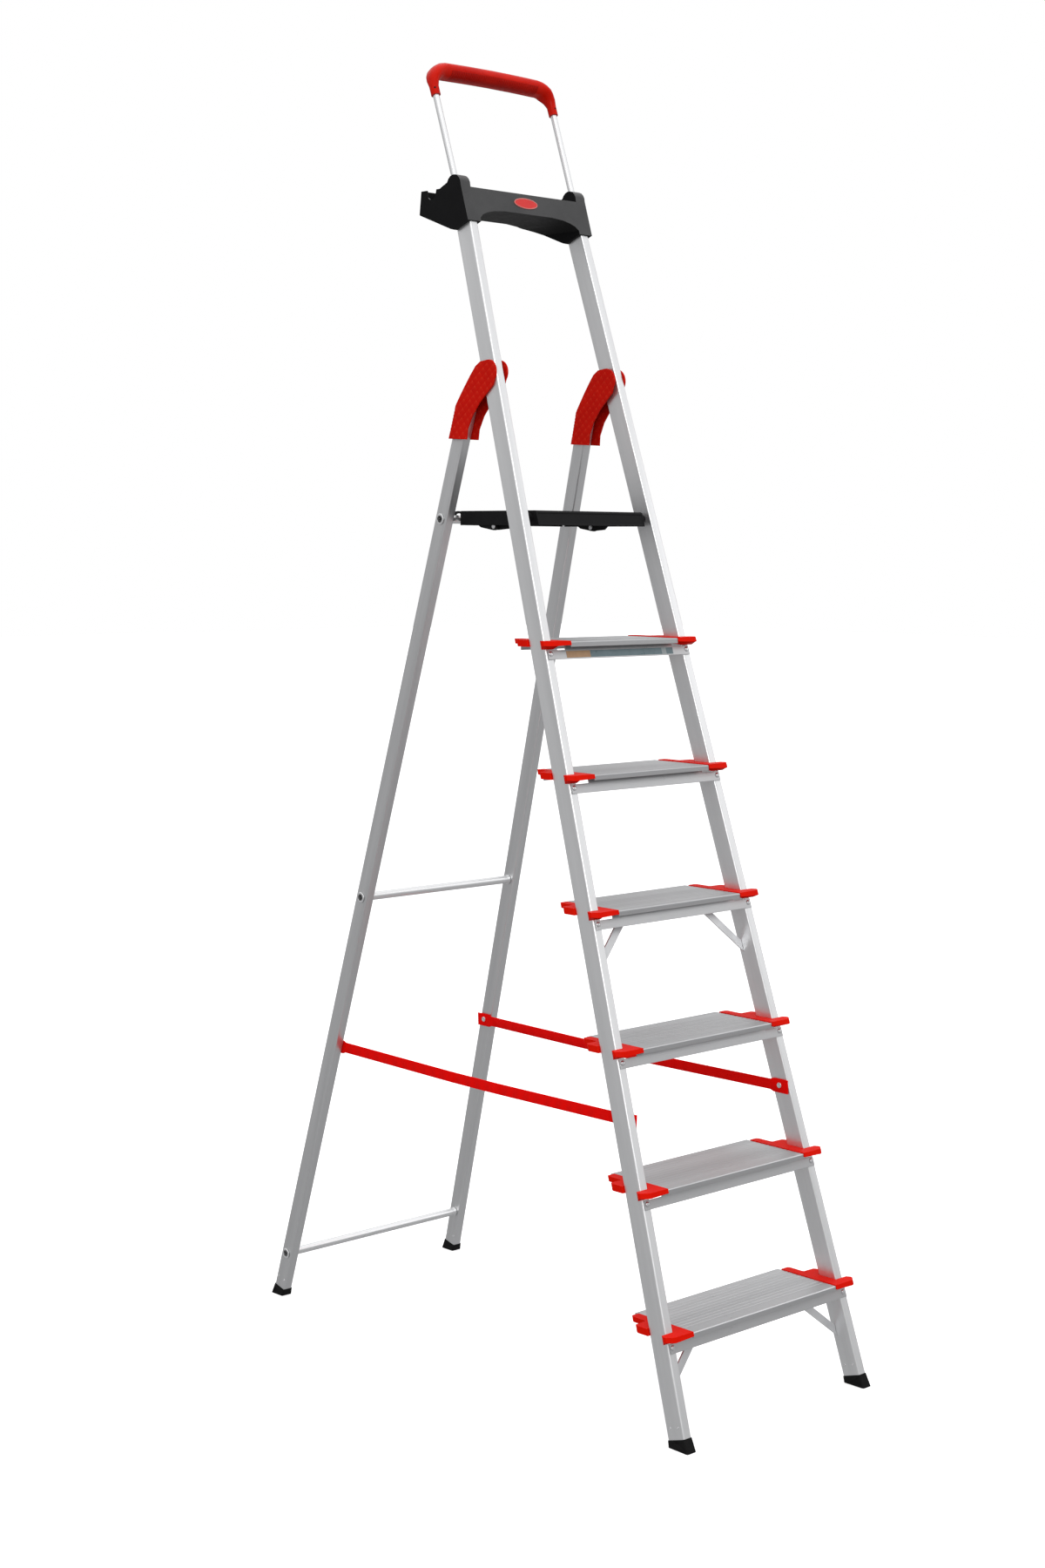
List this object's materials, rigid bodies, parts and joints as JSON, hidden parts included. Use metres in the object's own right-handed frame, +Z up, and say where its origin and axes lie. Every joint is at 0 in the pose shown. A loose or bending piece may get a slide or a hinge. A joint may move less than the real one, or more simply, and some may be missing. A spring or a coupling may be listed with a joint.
{
  "type": "step ladder",
  "caption": "Folding platform step ladder with flat treads on splayed rails, hinged rear legs, lifting platform, top tool tray and hoop handle.",
  "frame": {"origin": "centre of the open ladder's footprint on the floor", "axes": "+Z up, the climbing side faces -Y and the rear legs are at +Y, X across the ladder"},
  "size_m": [0.5006, 1.1675, 2.4168],
  "materials": {
    "aluminium": "extruded, satin",
    "tube_aluminium": "drawn tube, bright satin",
    "rivet_steel": "bright",
    "red_plastic": "moulded, semi-gloss",
    "cap_plastic": "moulded, semi-gloss",
    "webbing": "woven band",
    "black_plastic": "fine moulded texture",
    "foot_rubber": "matt"
  },
  "bodies": {
    "front_frame": {"front_stile_left": "aluminium", "front_foot_left": "foot_rubber", "hinge_pin_left": "rivet_steel", "handle_tube_left": "tube_aluminium", "strap_left": "webbing", "tread_cap_1_left": "cap_plastic", "tread_rivet_1_left": "rivet_steel", "tread_cap_2_left": "cap_plastic", "tread_rivet_2_left": "rivet_steel", "tread_cap_3_left": "cap_plastic", "tread_rivet_3_left": "rivet_steel", "tread_cap_4_left": "cap_plastic", "tread_rivet_4_left": "rivet_steel", "tread_cap_5_left": "cap_plastic", "tread_rivet_5_left": "rivet_steel", "tread_cap_6_left": "cap_plastic", "tread_rivet_6_left": "rivet_steel", "brace_1_left": "aluminium", "brace_4_left": "aluminium", "front_stile_right": "aluminium", "front_foot_right": "foot_rubber", "hinge_pin_right": "rivet_steel", "handle_tube_right": "tube_aluminium", "strap_right": "webbing", "tread_cap_1_right": "cap_plastic", "tread_rivet_1_right": "rivet_steel", "tread_cap_2_right": "cap_plastic", "tread_rivet_2_right": "rivet_steel", "tread_cap_3_right": "cap_plastic", "tread_rivet_3_right": "rivet_steel", "tread_cap_4_right": "cap_plastic", "tread_rivet_4_right": "rivet_steel", "tread_cap_5_right": "cap_plastic", "tread_rivet_5_right": "rivet_steel", "tread_cap_6_right": "cap_plastic", "tread_rivet_6_right": "rivet_steel", "brace_1_right": "aluminium", "brace_4_right": "aluminium", "tread_1": "aluminium", "tread_2": "aluminium", "tread_3": "aluminium", "tread_4": "aluminium", "tread_5": "aluminium", "tread_6": "aluminium", "tool_tray": "black_plastic", "hand_grip": "red_plastic"},
    "rear_frame": {"rear_leg_left": "aluminium", "rear_foot_left": "foot_rubber", "hinge_bracket_left": "red_plastic", "rear_leg_right": "aluminium", "rear_foot_right": "foot_rubber", "hinge_bracket_right": "red_plastic", "cross_tube_low": "tube_aluminium", "cross_tube_middle": "tube_aluminium", "cross_tube_top": "tube_aluminium"},
    "platform": {"platform": "black_plastic", "arm_rivet_left": "rivet_steel", "arm_rivet_right": "rivet_steel"},
    "platform_arms": {"platform_arm_left": "black_plastic", "platform_arm_right": "black_plastic"}
  },
  "joints": [
    {"name": "rear_fold", "type": "hinge", "parent": "front_frame", "child": "rear_frame", "pos_m": [0, 0.02007, 1.837], "axis": [-1, 0, 0], "range_deg": [0, 30.5], "deforming": ["strap_left", "strap_right"]},
    {"name": "platform_lift", "type": "hinge", "parent": "front_frame", "child": "platform", "pos_m": [0, -0.06235, 1.5756], "axis": [1, 0, 0], "range_deg": [0, 52.6]},
    {"name": "arm_swing", "type": "hinge", "parent": "platform", "child": "platform_arms", "pos_m": [0, 0.04045, 1.5597], "axis": [-1, 0, 0], "range_deg": [0, 161.6]}
  ],
  "couplings": [
    {"joint": "platform_lift", "follows": "rear_fold", "ratio": 1.7236},
    {"joint": "arm_swing", "follows": "rear_fold", "ratio": 5.2977}
  ]
}
